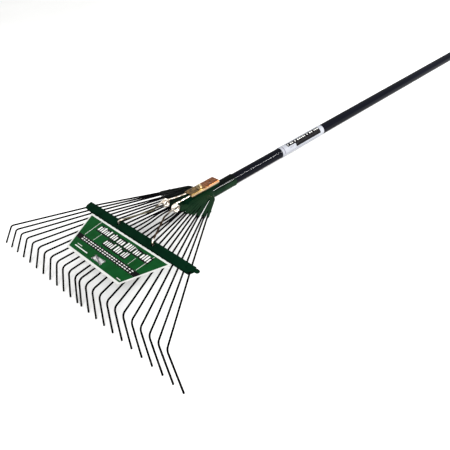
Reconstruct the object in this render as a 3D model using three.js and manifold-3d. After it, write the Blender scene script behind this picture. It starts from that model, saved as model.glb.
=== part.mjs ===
// A spring-brace leaf rake, built from its separate pieces. Millimetres, +Z up, +X to the handle's far end.
//
// Every piece is drawn in the rake's own frame: X along the middle of the rake, Z = 0 in the plane of the
// tines in front of the crossbar, and X = 0 at the crossbar's rear edge. The last lines tilt that frame so
// that the tine tips and the end of the handle stand on Z = 0, and centre the rake over the origin.
import * as THREE from "three";
import { mergeVertices } from "three/addons/utils/BufferGeometryUtils.js";
import Module from "manifold-3d";

const manifold = await Module();
manifold.setup();
const { Manifold, CrossSection } = manifold;

// ---------- driving dimensions ----------
const GAP = 0.3; // left between pieces that touch
const DEGREE = Math.PI / 180;

const TINE_COUNT = 24;
const TINE_RADIUS = 1.8;
const TINE_SIDES = 8;
const BEND_HALF_SPREAD = 261.2; // middle of the rake to the outermost bend
const BEND_X = -153.4;
const BEND_RADIUS = 11;
const BEND_ANGLE = 72.8 * DEGREE;
const TIP_DROP = 57.8; // tine plane down to the tips
const BUNCHING = 3; // how far the tines lean off an even spacing at the bends

const HEAD_SLOPE = 0.06; // the tines fall this much per millimetre from the crossbar back to the head
const MOUTH_X = 105; // where the tines leave the head
const MOUTH_PITCH = 7.2;
const MOUTH_CLEAR = 5.8; // the innermost tines leave the head this far from the middle
const MOUTH_CROWDED_PITCH = 4.2; // and the next ones this much further out
const PAIRED_RANKS = [3, 7, 9]; // each of these and the next rank out lean together at the mouth
const PAIR_LEAN = 1.2;
const ROOT_X = 150; // the tines' lines are drawn on to here inside the head
const ROOT_CLEAR = 6.2;
const ROOT_PITCH = 3.5;
const SPLIT_RANK = 9; // from this rank on, the roots stand off the others as a bundle of their own
const SPLIT_GAP = 3.6;
const LEFT_MOUTH_SHIFTS = { 9: 2.8, 10: 3 }; // that bundle stands off further on the left side
const LEFT_ROOT_SHIFTS = { 9: 1.8, 10: 1.2 };
const FINGER_GRIP = 4.5; // the tines start this far inside the fingers, clear of the sheet on all sides
const BOWED_RANKS = 2; // the innermost tines bow outwards under the brace coils
const BOW = 3.6;
const BOW_START = 25;

const BAR_REAR = -2.5;
const BAR_FRONT = -23;
const BAR_HALF_LENGTH = 170;
const BAR_TOP = 4.4;
const BAR_SHEET = 1.3;
const BAR_LIP = 2.1; // the strips' lips stop this far from the tine plane
const BAR_SHIFT = 1; // the lower strip stands this far behind the upper one
const BAR_CORNER = 4;
const TAB_WIDTH = 8.5; // the lower strip's ends run on as narrow tabs
const TAB_HALF_LENGTH = 177;
const TAB_CORNER = 3.5;
const BAR_RIVET_X = -12.5;
const BAR_RIVET_RANKS = [7.5, 10.5]; // each rivet stands between two neighbouring tines
const BAR_RIVET = { shank: 2, hole: 2.3, head: 3.6, rise: 1.2 };
const HOOK_SLOT_LENGTH = 10;
const HOOK_SLOT_WIDTH = 6;

const HANDLE_DROOP = 7.5 * DEGREE; // the handle's axis falls away from the tine plane
const HANDLE_RADIUS = 12.5;
const HANDLE_START = 174; // along the handle's axis, as all distances marked s are
const HANDLE_LENGTH = 1219;
const HANDLE_END_ROUND = 5;
const LABEL_START = 417;
const LABEL_END = 576;

const SHELL_SHEET = 1.2;
const SHELL_HALF = 4.1; // outer surface of the flat part of the head, above and below the tines
const SOCKET_RADIUS = 12.9;
const SOCKET_START = 178;
const SOCKET_END = 258;
const SIDE_MARGIN = 4.1; // sheet outside the outermost tine
const SHOULDER_X = 168;
const SLOT_DEPTHS = [0, 0, 9, 6, 9, 17, 23, 6, 52, 6, 17]; // from the middle outwards; 0 means no slot
const SLOT_END_HALF_WIDTH = 0.9;
const SPLIT_SLOT_HALF_WIDTH = 1.8; // the slots beside the outer bundles stay this wide
const LEFT_SPLIT_EXTRA = 10; // and the left one is this much deeper
const FINGER_HALF_WIDTH = 2.4;
const FUNNEL_START = 128;
const RIDGE_START = 112;
const RIDGE_END = 212;
const RIDGE_HALF_WIDTH = 7.8;
const RIDGE_TOP = 21.4; // above the handle's axis, as all heights marked h are
const HEAD_RIVET_X = 118;
const HEAD_RIVET_Y = 10.4;
const HEAD_RIVET = { shank: 1.4, hole: 1.8, head: 2.4, rise: 1 };
const SOCKET_SCREW_S = 232;
const SCREW = { point: 4.5, core: 1.7, pilot: 2, hole: 2.4, head: 4, rise: 2.6 };

const WIRE_RADIUS = 1.8; // brace spring wire
const COIL_X = 83.5;
const COIL_Z = 10;
const COIL_RADIUS = 7;
const COIL_TURNS = 2;
const COIL_PITCH = 4;
const COIL_START_Y = 11.4;
const LEG_KINK_X = 50; // the legs bend here, on their way down to the crossbar
const LEG_KINK_Y = 18.5;
const LEG_KINK_Z = 11.6;
const HOOK_X = -12;
const HOOK_Y = 55.4;
const HOOK_Z = 10.8;
const HOOK_FOOT_Z = -8.5;
const HOOK_FOOT_LENGTH = 8;

const BRACKET_START = 129;
const BRACKET_END = 208.5;
const BRACKET_HALF_WIDTH = 11.6;
const BRACKET_TOP = 27.2;
const BRACKET_SHEET = 1.6;
const BRACKET_FLANGE = 7;
const ANCHOR_Y = 6.4;
const ANCHOR_END = 12; // the wire turns round this far inside the bracket's rear edge
const BOLT_S = 161;
const BOLT_RADIUS = 2.6;
const BOLT_SEAT = 3; // the bolt's head stands off the socket's lower side, below the funnel
const BOLT_HEAD = 3.5;
const BOLT_STICKS_OUT = 6;
const NUT_FLATS = 9;
const NUT_HEIGHT = 4;
const WASHER_RADIUS = 6;
const WASHER_SHEET = 1;

const CARD_TOP_X = -25.5;
const CARD_BOTTOM_X = -117.5;
const CARD_TOP_HALF = 131;
const CARD_BOTTOM_HALF = 87;
const CARD_SHIFT = 5; // the card sits this far off the middle, towards +Y
const CARD_SHEET = 0.7;
const CARD_TIE_X = -38;
const CARD_TIE_RADIUS = 0.6;
const CARD_TIE_HALF = 3.2; // from the middle of a tie to each of its two holes
const CARD_TIE_RANKS = [["card_tie_left", 1, 4], ["card_tie_right", -1, 2]]; // name, side, rank

// ---------- materials ----------
const finish = (color, roughness, metalness) =>
  new THREE.MeshStandardMaterial({ color, roughness, metalness });
const blackEnamel = finish(0x141618, 0.35, 0.3);
const greenEnamel = finish(0x123c28, 0.4, 0.2);
const brassPlate = finish(0xa67c42, 0.35, 0.9);
const springWire = finish(0x8c8063, 0.4, 0.9);
const zincPlate = finish(0xb4b8bc, 0.35, 0.9);
const navyLacquer = finish(0x14141f, 0.25, 0);
const whiteSleeve = finish(0xe6e6ea, 0.5, 0);
const printedCard = finish(0x0f6b38, 0.55, 0);

// ---------- frames ----------
const point = (x, y, z) => new THREE.Vector3(x, y, z);

// A point given along the handle's axis, across it, and above it.
function fromAxis(s, y, h) {
  const cos = Math.cos(HANDLE_DROOP);
  const sin = Math.sin(HANDLE_DROOP);
  return point(s * cos + h * sin, y, h * cos - s * sin);
}

// Height of the tine plane behind the crossbar.
const headZ = (x) => -HEAD_SLOPE * x;

// ---------- wires ----------
// A curve that ExtrudeGeometry samples at exactly the points it is given.
class WireRoute extends THREE.Curve {
  constructor(points) {
    super();
    this.points = points;
  }
  getPoint(t) {
    const place = t * (this.points.length - 1);
    const i = Math.min(Math.floor(place), this.points.length - 2);
    return this.points[i].clone().lerp(this.points[i + 1], place - i);
  }
  getPointAt(u) {
    return this.getPoint(u);
  }
  getTangentAt(u) {
    const i = Math.round(u * (this.points.length - 1));
    const before = this.points[Math.max(i - 1, 0)];
    const after = this.points[Math.min(i + 1, this.points.length - 1)];
    return after.clone().sub(before).normalize();
  }
  getSpacedPoints(divisions) {
    return Array.from({ length: divisions + 1 }, (_, i) =>
      this.getPoint(i / divisions),
    );
  }
}

function wireGeometry(points, radius, sides) {
  const section = new THREE.Shape().absarc(0, 0, radius, 0, 2 * Math.PI);
  return new THREE.ExtrudeGeometry(section, {
    extrudePath: new WireRoute(points),
    steps: points.length - 1,
    curveSegments: sides / 2,
    bevelEnabled: false,
  });
}

// Replaces the corner at b, between a and c, with an arc.
function arcCorner(a, b, c, radius, segments) {
  const back = a.clone().sub(b).normalize();
  const ahead = c.clone().sub(b).normalize();
  const half = back.angleTo(ahead) / 2;
  const middle = back.clone().add(ahead).normalize();
  const centre = b.clone().addScaledVector(middle, radius / Math.sin(half));
  const start = b.clone().addScaledVector(back, radius / Math.tan(half));
  const arm = start.clone().sub(centre);
  const axis = back.clone().cross(ahead).normalize();
  const turn = Math.PI - 2 * half;
  return Array.from({ length: segments + 1 }, (_, i) =>
    arm
      .clone()
      .applyAxisAngle(axis, (-turn * i) / segments)
      .add(centre),
  );
}

// A wire with round bends: each entry after the first and before the last is a corner.
function bentRoute(corners, radius, segments) {
  const inner = corners
    .slice(1, -1)
    .flatMap((corner, i) =>
      arcCorner(corners[i], corner, corners[i + 2], radius, segments),
    );
  return [corners[0], ...inner, corners.at(-1)];
}

// ---------- solids for booleans ----------
function solidOf(geometry) {
  const bare = new THREE.BufferGeometry();
  bare.setAttribute("position", geometry.getAttribute("position"));
  if (geometry.index) bare.setIndex(geometry.index);
  const merged = mergeVertices(bare, 1e-4);
  return new Manifold(
    new manifold.Mesh({
      numProp: 3,
      vertProperties: merged.attributes.position.array,
      triVerts: new Uint32Array(merged.index.array),
    }),
  );
}

function geometryOf(solid) {
  const mesh = solid.getMesh();
  const geometry = new THREE.BufferGeometry();
  geometry.setAttribute(
    "position",
    new THREE.BufferAttribute(mesh.vertProperties.slice(), 3),
  );
  geometry.setIndex(new THREE.BufferAttribute(mesh.triVerts.slice(), 1));
  const flat = geometry.toNonIndexed();
  flat.computeVertexNormals();
  return flat;
}

const toDegrees = (angle) => angle / DEGREE;

// Turns a solid drawn along the handle's axis into the rake's frame.
const alongHandle = (solid) => solid.rotate([0, toDegrees(HANDLE_DROOP), 0]);

// Turns a solid drawn flat into the sloping plane of the tines behind the crossbar.
const alongHead = (solid) =>
  solid.rotate([0, toDegrees(Math.atan(HEAD_SLOPE)), 0]);

const box = (x0, x1, y0, y1, z0, z1) =>
  Manifold.cube([x1 - x0, y1 - y0, z1 - z0]).translate([x0, y0, z0]);

const upright = (x, y, z0, z1, radius, sides = 24) =>
  Manifold.cylinder(z1 - z0, radius, radius, sides).translate([x, y, z0]);

// A round bar along X, from x0 to x1, whose radius may change on the way.
const lying = (x0, x1, radius0, radius1 = radius0, sides = 48) =>
  Manifold.cylinder(x1 - x0, radius0, radius1, sides)
    .rotate([0, 90, 0])
    .translate([x0, 0, 0]);

// A flat plate whose outline is in the XY plane.
const plate = (outline, z0, z1) =>
  new CrossSection([outline], "EvenOdd").extrude(z1 - z0).translate([0, 0, z0]);

// ---------- the pieces ----------
const rake = new THREE.Group();

function add(name, geometry, material) {
  const mesh = new THREE.Mesh(geometry, material);
  mesh.name = name;
  rake.add(mesh);
}

// --- tines ---
// rank 0 is next to the middle and rank 11 is outermost.
const RANKS = TINE_COUNT / 2;
const barY = (rank) => 7.65 + 12.75 * rank + 0.05 * rank ** 2;

function bendY(rank) {
  const lean = (k) => -BUNCHING * Math.sin((2 * Math.PI * k) / 13);
  const first = 7.3;
  const pitch = (BEND_HALF_SPREAD - first - lean(RANKS - 1)) / (RANKS - 1);
  return first + pitch * rank + lean(rank);
}

// A tine's distance from the middle between the crossbar and its bend.
const tineAt = (rank, x) =>
  THREE.MathUtils.lerp(barY(rank), bendY(rank), x / BEND_X);

const leftShift = (shifts, rank, side) => (side > 0 ? (shifts[rank] ?? 0) : 0);

// A tine's distance from the middle where it leaves the head, on the left (side 1) or the right (-1).
function mouthY(rank, side) {
  if (rank < BOWED_RANKS) return MOUTH_CLEAR + MOUTH_CROWDED_PITCH * rank;
  const outwards = Number(PAIRED_RANKS.includes(rank));
  const inwards = Number(PAIRED_RANKS.includes(rank - 1));
  const lean = PAIR_LEAN * (outwards - inwards);
  return MOUTH_PITCH * rank + lean + leftShift(LEFT_MOUTH_SHIFTS, rank, side);
}

function rootY(rank, side) {
  const bundle = rank >= SPLIT_RANK ? SPLIT_GAP : 0;
  return ROOT_CLEAR + ROOT_PITCH * rank + bundle + leftShift(LEFT_ROOT_SHIFTS, rank, side);
}

// A tine's course inside the head, from its mouth back to its root.
const insideY = (rank, x, side) =>
  THREE.MathUtils.mapLinear(x, MOUTH_X, ROOT_X, mouthY(rank, side), rootY(rank, side));

// Where the fingers of the head end, for a tine that leaves it at y.
const fingerEnd = (y) => 92 + 18 * (y / 75) ** 2;

function behindBarY(rank, x, side) {
  if (x > MOUTH_X) return insideY(rank, x, side);
  const straight = THREE.MathUtils.lerp(barY(rank), mouthY(rank, side), x / MOUTH_X);
  if (rank >= BOWED_RANKS || x < BOW_START) return straight;
  const along = (x - BOW_START) / (MOUTH_X - BOW_START);
  return straight + BOW * Math.sin(Math.PI * along) ** 2;
}

// How far a tip stands outside its bend: all the tines are bent about one line across the rake.
function tineFlare(rank) {
  const slope = (bendY(rank) - barY(rank)) / -BEND_X;
  return (TIP_DROP * slope) / Math.sin(BEND_ANGLE);
}

function tineRoute(rank, side) {
  const startX = fingerEnd(mouthY(rank, side)) + FINGER_GRIP;
  const backSteps = rank < BOWED_RANKS ? 12 : 2;
  const behind = Array.from({ length: backSteps + 1 }, (_, i) => {
    const x = startX * (1 - i / backSteps);
    return point(x, side * behindBarY(rank, x, side), headZ(x));
  });
  const bend = point(BEND_X, side * bendY(rank), 0);
  const tip = point(
    BEND_X - TIP_DROP / Math.tan(BEND_ANGLE),
    side * (bendY(rank) + tineFlare(rank)),
    -TIP_DROP,
  );
  return [...behind, ...arcCorner(behind.at(-1), bend, tip, BEND_RADIUS, 5), tip];
}

for (let i = 0; i < TINE_COUNT; i++) {
  const side = i < RANKS ? 1 : -1;
  const rank = side > 0 ? RANKS - 1 - i : i - RANKS;
  const number = String(i + 1).padStart(2, "0");
  const geometry = wireGeometry(tineRoute(rank, side), TINE_RADIUS, TINE_SIDES);
  add("tine_" + number, geometry, blackEnamel);
}

// --- crossbar ---
// A sheet strip with a lip along each edge, drawn as its section and run across the rake.
function barStrip(rear, front, halfLength, flat, lip) {
  const up = Math.sign(flat - lip);
  const inside = flat - up * BAR_SHEET;
  const corners = [
    [rear, lip],
    [rear, flat],
    [front, flat],
    [front, lip],
    [front + BAR_SHEET, lip],
    [front + BAR_SHEET, inside],
    [rear - BAR_SHEET, inside],
    [rear - BAR_SHEET, lip],
  ];
  const section = new CrossSection([corners], "EvenOdd");
  return section
    .extrude(2 * halfLength)
    .rotate([90, 0, 0])
    .translate([0, halfLength, 0]);
}

// A flat bar across the rake with rounded corners, tall enough to cut a strip from.
function roundedBlank(rear, front, halfLength, radius) {
  return CrossSection.square([rear - front - 2 * radius, 2 * (halfLength - radius)], true)
    .offset(radius, "Round", 2, 32)
    .extrude(4 * BAR_TOP, 0, 0, [1, 1], true)
    .translate([(rear + front) / 2, 0, 0]);
}

const rivetY = BAR_RIVET_RANKS.flatMap((rank) => {
  const y = tineAt(rank, BAR_RIVET_X);
  return [y, -y];
}).sort((a, b) => b - a);

const hookSlots = [HOOK_Y, -HOOK_Y].map((y) =>
  Manifold.cube([HOOK_SLOT_LENGTH, HOOK_SLOT_WIDTH, 4 * BAR_TOP], true).translate([HOOK_X, y, 0]),
);
const barHoles = rivetY.map((y) =>
  upright(BAR_RIVET_X, y, -2 * BAR_TOP, 2 * BAR_TOP, BAR_RIVET.hole),
);
const barCuts = Manifold.union([...hookSlots, ...barHoles]);

const upperStrip = barStrip(BAR_REAR, BAR_FRONT, BAR_HALF_LENGTH, BAR_TOP, BAR_LIP)
  .intersect(roundedBlank(BAR_REAR, BAR_FRONT, BAR_HALF_LENGTH, BAR_CORNER))
  .subtract(barCuts);
const lowerRear = BAR_REAR + BAR_SHIFT;
const lowerFront = BAR_FRONT + BAR_SHIFT;
const lowerBlank = roundedBlank(lowerRear, lowerFront, BAR_HALF_LENGTH, BAR_CORNER).add(
  roundedBlank(lowerRear, lowerRear - TAB_WIDTH, TAB_HALF_LENGTH, TAB_CORNER),
);
const lowerStrip = barStrip(lowerRear, lowerFront, TAB_HALF_LENGTH, -BAR_TOP, -BAR_LIP)
  .intersect(lowerBlank)
  .subtract(barCuts);
add("crossbar_upper", geometryOf(upperStrip), greenEnamel);
add("crossbar_lower", geometryOf(lowerStrip), greenEnamel);

// A rivet along Z: a shank between two low round heads that stand off the sheets by the usual gap.
function rivetGeometry(x, y, bottom, top, { shank, head, rise }) {
  const low = bottom - GAP;
  const high = top + GAP;
  const profile = [
    [0, low - rise],
    [head * 0.7, low - rise * 0.8],
    [head, low - rise * 0.3],
    [head, low],
    [shank, low],
    [shank, high],
    [head, high],
    [head, high + rise * 0.3],
    [head * 0.7, high + rise * 0.8],
    [0, high + rise],
  ].map(([r, z]) => new THREE.Vector2(r, z));
  // A lathe turns about Y, so it is stood up along Z before it is placed.
  return new THREE.LatheGeometry(profile, 20).rotateX(Math.PI / 2).translate(x, y, 0);
}

rivetY.forEach((y, i) => {
  const geometry = rivetGeometry(BAR_RIVET_X, y, -BAR_TOP, BAR_TOP, BAR_RIVET);
  add("crossbar_rivet_" + (i + 1), geometry, greenEnamel);
});

// --- head and socket ---
// Outline of the flat part of the head, in by inset all round; its front edge stays open past the mouth.
function headOutline(inset, front) {
  const sideY = (x) => insideY(RANKS - 1, x, 1) + SIDE_MARGIN - inset;
  const frontEdge = Array.from({ length: 17 }, (_, i) => {
    const y = mouthY(RANKS - 1, 1) * (i / 8 - 1);
    return [fingerEnd(y) - front, y];
  });
  const cornerX = frontEdge[0][0];
  const shoulder = [
    [cornerX, sideY(cornerX)],
    [SHOULDER_X, sideY(SHOULDER_X)],
    [SHOULDER_X + 7 - inset, sideY(SHOULDER_X) - 8],
    [SHOULDER_X + 20 - inset, SOCKET_RADIUS + 2 - inset],
    [SHOULDER_X + 34 - inset, SOCKET_RADIUS - 1 - inset],
  ];
  const mirrored = shoulder.map(([x, y]) => [x, -y]).reverse();
  return [...frontEdge, ...shoulder, ...mirrored];
}

// The head's outside, or with an inset its hollow: a flat part, a funnel, the socket tube and the ridge.
function headForm(inset, mouth, rear) {
  const half = SHELL_HALF - inset;
  const radius = SOCKET_RADIUS + SHELL_SHEET - inset;
  const flat = alongHead(plate(headOutline(inset, mouth), -half, half));
  const nose = Manifold.sphere(half, 16).translate([FUNNEL_START, 0, headZ(FUNNEL_START)]);
  const throat = alongHandle(lying(SOCKET_START - 6, SOCKET_START, radius));
  const tube = alongHandle(lying(SOCKET_START - 1, SOCKET_END + rear, radius));
  const width = RIDGE_HALF_WIDTH - inset;
  const ridge = alongHandle(
    box(RIDGE_START + inset, RIDGE_END - inset, -width, width, 8, RIDGE_TOP - inset),
  );
  return Manifold.union([flat, Manifold.hull([nose, throat]), tube, ridge]);
}

// Slots between neighbouring tines turn the head's front edge into fingers.
function fingerSlot(rank, side) {
  const split = rank === SPLIT_RANK - 1;
  const depth = SLOT_DEPTHS[rank] + (split && side > 0 ? LEFT_SPLIT_EXTRA : 0);
  const rearHalf = split ? SPLIT_SLOT_HALF_WIDTH : SLOT_END_HALF_WIDTH;
  const inner = (x) => insideY(rank, x, side);
  const outer = (x) => insideY(rank + 1, x, side);
  const middle = (x) => (inner(x) + outer(x)) / 2;
  const front = fingerEnd(middle(MOUTH_X)) - 12;
  const rear = fingerEnd(middle(MOUTH_X)) + depth;
  const frontHalf = Math.max((outer(front) - inner(front)) / 2 - FINGER_HALF_WIDTH, rearHalf);
  const outline = [
    [front, side * (middle(front) - frontHalf)],
    [rear, side * (middle(rear) - rearHalf)],
    [rear, side * (middle(rear) + rearHalf)],
    [front, side * (middle(front) + frontHalf)],
  ];
  return plate(outline, -30, 20);
}

const fingerSlots = SLOT_DEPTHS.flatMap((depth, rank) =>
  depth > 0 ? [fingerSlot(rank, 1), fingerSlot(rank, -1)] : [],
);

// Everything above the line on which the two shells meet.
function aboveSeam(offset) {
  const seamEnd = fromAxis(SOCKET_END + 20, 0, 0);
  const seamTurn = fromAxis(SOCKET_START + 8, 0, 0);
  const line = [
    [60, headZ(60) + offset],
    [SHOULDER_X - 4, headZ(SHOULDER_X - 4) + offset],
    [seamTurn.x, seamTurn.z + offset],
    [seamEnd.x, seamEnd.z + offset],
    [seamEnd.x, 60],
    [60, 60],
  ];
  // Drawn in XZ: the extrusion is stood up so that its own Z becomes -Y.
  return new CrossSection([line], "EvenOdd")
    .extrude(240)
    .rotate([90, 0, 0])
    .translate([0, 120, 0]);
}

const headBolt = alongHandle(upright(BOLT_S, 0, -60, 60, BOLT_RADIUS + GAP));
const headRivetHoles = [HEAD_RIVET_Y, -HEAD_RIVET_Y].map((y) =>
  upright(HEAD_RIVET_X, y, -30, 20, HEAD_RIVET.hole),
);
const screwHole = alongHandle(upright(SOCKET_SCREW_S, 0, -30, 0, SCREW.hole));
const headCuts = Manifold.union([...fingerSlots, headBolt, ...headRivetHoles, screwHole]);
const headShell = headForm(0, 0, 0)
  .subtract(headForm(SHELL_SHEET, 20, 20))
  .subtract(headCuts);
const upperShell = headShell.intersect(aboveSeam(GAP / 2));
const lowerShell = headShell.subtract(aboveSeam(-GAP / 2));
add("head_upper_shell", geometryOf(upperShell), greenEnamel);
add("head_lower_shell", geometryOf(lowerShell), greenEnamel);

for (const [name, y] of [["left", HEAD_RIVET_Y], ["right", -HEAD_RIVET_Y]]) {
  const bottom = headZ(HEAD_RIVET_X) - SHELL_HALF;
  const geometry = rivetGeometry(HEAD_RIVET_X, y, bottom, bottom + 2 * SHELL_HALF, HEAD_RIVET);
  add("head_rivet_" + name, geometry, greenEnamel);
}

// --- handle ---
const alongX = (geometry) => geometry.rotateZ(-Math.PI / 2);
function handleGeometry() {
  const end = HANDLE_START + HANDLE_LENGTH;
  const round = Array.from({ length: 7 }, (_, i) => {
    const angle = (i / 6) * (Math.PI / 2);
    return [
      HANDLE_RADIUS - HANDLE_END_ROUND * (1 - Math.cos(angle)),
      end - HANDLE_END_ROUND * (1 - Math.sin(angle)),
    ];
  });
  const profile = [
    [0, HANDLE_START],
    [HANDLE_RADIUS - 2, HANDLE_START],
    [HANDLE_RADIUS, HANDLE_START + 2],
    ...round,
    [0, end],
  ].map(([r, s]) => new THREE.Vector2(r, s));
  return alongX(new THREE.LatheGeometry(profile, 40));
}

// Pieces drawn along the handle's axis hang from a group that carries its slope.
const axisFrame = new THREE.Group();
axisFrame.rotation.y = HANDLE_DROOP;
rake.add(axisFrame);

function addOnAxis(name, geometry, material) {
  const mesh = new THREE.Mesh(geometry, material);
  mesh.name = name;
  axisFrame.add(mesh);
}

const pilot = upright(SOCKET_SCREW_S, 0, -HANDLE_RADIUS - 2, -3, SCREW.pilot);
addOnAxis("handle", geometryOf(solidOf(handleGeometry()).subtract(pilot)), navyLacquer);

const sleeveInner = HANDLE_RADIUS + GAP;
const sleeve = lying(LABEL_START, LABEL_END, sleeveInner + 0.4).subtract(
  lying(LABEL_START - 1, LABEL_END + 1, sleeveInner),
);
addOnAxis("handle_label", geometryOf(sleeve), whiteSleeve);

const screwSeat = -(SOCKET_RADIUS + SHELL_SHEET) - GAP;
const screwProfile = [
  [0, -SCREW.point],
  [SCREW.core, -SCREW.point - 1],
  [SCREW.core, screwSeat],
  [SCREW.head, screwSeat],
  [SCREW.head * 0.9, screwSeat - SCREW.rise * 0.6],
  [SCREW.head * 0.5, screwSeat - SCREW.rise * 0.9],
  [0, screwSeat - SCREW.rise],
]
  .reverse()
  .map(([r, h]) => new THREE.Vector2(r, h));
addOnAxis(
  "socket_screw",
  new THREE.LatheGeometry(screwProfile, 20)
    .rotateX(Math.PI / 2)
    .translate(SOCKET_SCREW_S, 0, 0),
  zincPlate,
);

// --- brace bracket, its bolt and the brace spring ---
const bracketInner = BRACKET_HALF_WIDTH - BRACKET_SHEET;
const bracket = box(
  BRACKET_START, BRACKET_END, -BRACKET_HALF_WIDTH, BRACKET_HALF_WIDTH,
  BRACKET_TOP - BRACKET_FLANGE, BRACKET_TOP,
)
  .subtract(
    box(
      BRACKET_START - 1, BRACKET_END + 1, -bracketInner, bracketInner,
      BRACKET_TOP - BRACKET_FLANGE - 1, BRACKET_TOP - BRACKET_SHEET,
    ),
  )
  .subtract(upright(BOLT_S, 0, 0, 40, BOLT_RADIUS + GAP));
addOnAxis("brace_bracket", geometryOf(bracket), brassPlate);

const hexagon = (height, acrossFlats) =>
  Manifold.cylinder(height, acrossFlats / Math.sqrt(3), acrossFlats / Math.sqrt(3), 6);
const boltHole = upright(BOLT_S, 0, 0, 60, BOLT_RADIUS + GAP);
const washerBottom = BRACKET_TOP + GAP;
const washerTop = washerBottom + WASHER_SHEET;
const nutBottom = washerTop + GAP;
const nut = hexagon(NUT_HEIGHT, NUT_FLATS).translate([BOLT_S, 0, nutBottom]).subtract(boltHole);
const washer = upright(BOLT_S, 0, washerBottom, washerTop, WASHER_RADIUS, 32).subtract(boltHole);
const boltSeat = -SOCKET_RADIUS - SHELL_SHEET - BOLT_SEAT;
const bolt = hexagon(BOLT_HEAD, NUT_FLATS)
  .translate([BOLT_S, 0, boltSeat - BOLT_HEAD])
  .add(upright(BOLT_S, 0, boltSeat - 1, nutBottom + BOLT_STICKS_OUT, BOLT_RADIUS));
addOnAxis("brace_nut", geometryOf(nut), zincPlate);
addOnAxis("brace_washer", geometryOf(washer), zincPlate);
addOnAxis("brace_bolt", geometryOf(bolt), zincPlate);

const anchorH = BRACKET_TOP - BRACKET_SHEET - GAP - WIRE_RADIUS;
const coilPoint = (angle, side) =>
  point(
    COIL_X - COIL_RADIUS * Math.sin(angle),
    side * (COIL_START_Y + (COIL_PITCH * angle) / (2 * Math.PI)),
    COIL_Z + COIL_RADIUS * Math.cos(angle),
  );

// The wire from one coil into the bracket, round behind the bolt and out to the other coil.
function anchorRoute() {
  const bendS = BRACKET_END - ANCHOR_END;
  const oneSide = (side) => [
    coilPoint(0, side).add(point(0.6, 0, 0)),
    point(COIL_X + 8, side * COIL_START_Y, COIL_Z + COIL_RADIUS - 1.2),
    point(COIL_X + 22, side * 9.4, COIL_Z + COIL_RADIUS - 5),
    fromAxis(BRACKET_START - 6, side * 7, anchorH + 0.6),
    fromAxis(BRACKET_START + 4, side * ANCHOR_Y, anchorH),
    fromAxis(bendS, side * ANCHOR_Y, anchorH),
  ];
  const turn = Array.from({ length: 9 }, (_, i) => {
    const angle = (Math.PI * (i + 1)) / 10;
    return fromAxis(
      bendS + ANCHOR_Y * Math.sin(angle), ANCHOR_Y * Math.cos(angle), anchorH,
    );
  });
  return [...oneSide(1), ...turn, ...oneSide(-1).reverse()];
}
add("brace_anchor", wireGeometry(anchorRoute(), WIRE_RADIUS, 10), springWire);

function coilRoute(side) {
  const steps = 16 * COIL_TURNS;
  return Array.from({ length: steps + 1 }, (_, i) =>
    coilPoint((2 * Math.PI * COIL_TURNS * i) / steps, side),
  );
}

function legRoute(side) {
  const start = coilPoint(2 * Math.PI * COIL_TURNS, side);
  const corners = [
    start.clone().add(point(-1.3, 0, 0)),
    point(LEG_KINK_X, side * LEG_KINK_Y, LEG_KINK_Z),
    point(HOOK_X, side * HOOK_Y, HOOK_Z),
    point(HOOK_X, side * HOOK_Y, HOOK_FOOT_Z),
    point(HOOK_X + HOOK_FOOT_LENGTH, side * HOOK_Y, HOOK_FOOT_Z - 1),
  ];
  const kink = arcCorner(corners[0], corners[1], corners[2], 7, 4);
  const over = arcCorner(corners[1], corners[2], corners[3], 4.5, 5);
  const under = arcCorner(corners[2], corners[3], corners[4], 3, 4);
  return [corners[0], ...kink, ...over, ...under, corners[4]];
}

for (const [name, side] of [["left", 1], ["right", -1]]) {
  add("brace_coil_" + name, wireGeometry(coilRoute(side), WIRE_RADIUS, 10), springWire);
  add("brace_leg_" + name, wireGeometry(legRoute(side), WIRE_RADIUS, 10), springWire);
}

// --- header card and the wire ties that hold it ---
const cardBottom = TINE_RADIUS + GAP;
const cardTop = cardBottom + CARD_SHEET;
const ties = CARD_TIE_RANKS.map(([name, side, rank]) => [name, side * tineAt(rank, CARD_TIE_X)]);
const tieHoles = ties.flatMap(([, y]) =>
  [-CARD_TIE_HALF, CARD_TIE_HALF].map((off) => upright(CARD_TIE_X, y + off, -5, 10, 1, 12)),
);
const card = plate(
  [
    [CARD_BOTTOM_X, CARD_SHIFT - CARD_BOTTOM_HALF],
    [CARD_TOP_X, CARD_SHIFT - CARD_TOP_HALF],
    [CARD_TOP_X, CARD_SHIFT + CARD_TOP_HALF],
    [CARD_BOTTOM_X, CARD_SHIFT + CARD_BOTTOM_HALF],
  ],
  cardBottom,
  cardTop,
).subtract(Manifold.union(tieHoles));
add("header_card", geometryOf(card), printedCard);

for (const [name, y] of ties) {
  const crown = cardTop + GAP + CARD_TIE_RADIUS;
  const under = -TINE_RADIUS - GAP - 2 * CARD_TIE_RADIUS;
  const at = (off, z) => point(CARD_TIE_X, y + off, z);
  const corners = [
    at(-CARD_TIE_RADIUS, under),
    at(-CARD_TIE_HALF, under),
    at(-CARD_TIE_HALF, crown),
    at(CARD_TIE_HALF, crown),
    at(CARD_TIE_HALF, under),
    at(CARD_TIE_RADIUS, under),
  ];
  const route = bentRoute(corners, 2 * CARD_TIE_RADIUS, 3);
  add(name, wireGeometry(route, CARD_TIE_RADIUS, 8), zincPlate);
}

// ---------- stand the rake on the floor ----------
// The tips and the underside of the handle's far end rest on Z = 0.
const tipPoint = point(BEND_X - TIP_DROP / Math.tan(BEND_ANGLE), 0, -TIP_DROP - TINE_RADIUS * 0.3);
const handleEnd = fromAxis(HANDLE_START + HANDLE_LENGTH - HANDLE_END_ROUND, 0, -HANDLE_RADIUS);
const pitch = Math.atan2(handleEnd.z - tipPoint.z, handleEnd.x - tipPoint.x);

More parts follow.
